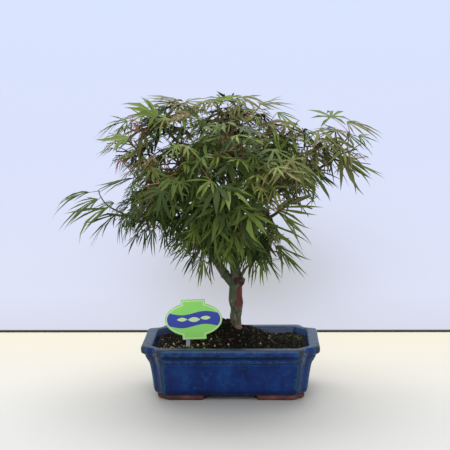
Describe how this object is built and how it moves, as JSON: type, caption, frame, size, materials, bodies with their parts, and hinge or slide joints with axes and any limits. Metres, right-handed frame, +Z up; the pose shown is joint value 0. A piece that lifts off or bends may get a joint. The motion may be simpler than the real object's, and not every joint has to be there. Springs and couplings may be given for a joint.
{
  "type": "potted japanese maple bonsai",
  "caption": "Small bonsai Japanese maple with a spreading crown of deeply cut leaves, in a glazed tray with soil and a plant label.",
  "frame": {"origin": "on the surface that the tray stands on, under the middle of the plant's overall box", "axes": "+Z up, +X to the right and +Y away from someone who faces the long side with the label"},
  "size_m": [0.3748, 0.2696, 0.3397],
  "materials": {
    "glaze": "glossy cobalt blue glaze that thins to grey at the edges",
    "clay": "bare unglazed red-brown clay",
    "soil": "damp dark potting soil with pale grains and bits of moss",
    "bark": "grey-green bark with moss and red-brown scars",
    "leaf": "soft mid-green leaf with bronze tints and reddish stalks",
    "label": "printed light green and blue plastic card",
    "stake": "plain off-white plastic"
  },
  "bodies": {
    "root": {"tray": "glaze", "foot_front_left": "clay", "foot_back_left": "clay", "foot_front_right": "clay", "foot_back_right": "clay", "soil": "soil", "label_plate": "label", "label_stake": "stake", "trunk": "bark", "leader": "bark", "left_bough": "bark", "far_left_bough": "bark", "left_low_bough": "bark", "lower_left_bough": "bark", "front_left_bough": "bark", "top_left_bough": "bark", "top_right_bough": "bark", "right_upper_bough": "bark", "right_low_bough": "bark", "lower_right_bough": "bark", "front_right_bough": "bark", "front_centre_bough": "bark", "front_top_bough": "bark", "inner_left_bough": "bark", "inner_right_bough": "bark", "back_left_bough": "bark", "back_right_bough": "bark", "back_top_bough": "bark", "foliage_top_centre": "leaf", "foliage_left_upper": "leaf", "foliage_far_left": "leaf", "foliage_left_low": "leaf", "foliage_lower_left": "leaf", "foliage_front_left": "leaf", "foliage_top_left": "leaf", "foliage_top_right": "leaf", "foliage_right_upper": "leaf", "foliage_right_low": "leaf", "foliage_lower_right": "leaf", "foliage_front_right": "leaf", "foliage_front_centre": "leaf", "foliage_front_top": "leaf", "foliage_inner_left": "leaf", "foliage_inner_right": "leaf", "foliage_back_left": "leaf", "foliage_back_right": "leaf", "foliage_back_top": "leaf"}
  },
  "joints": []
}
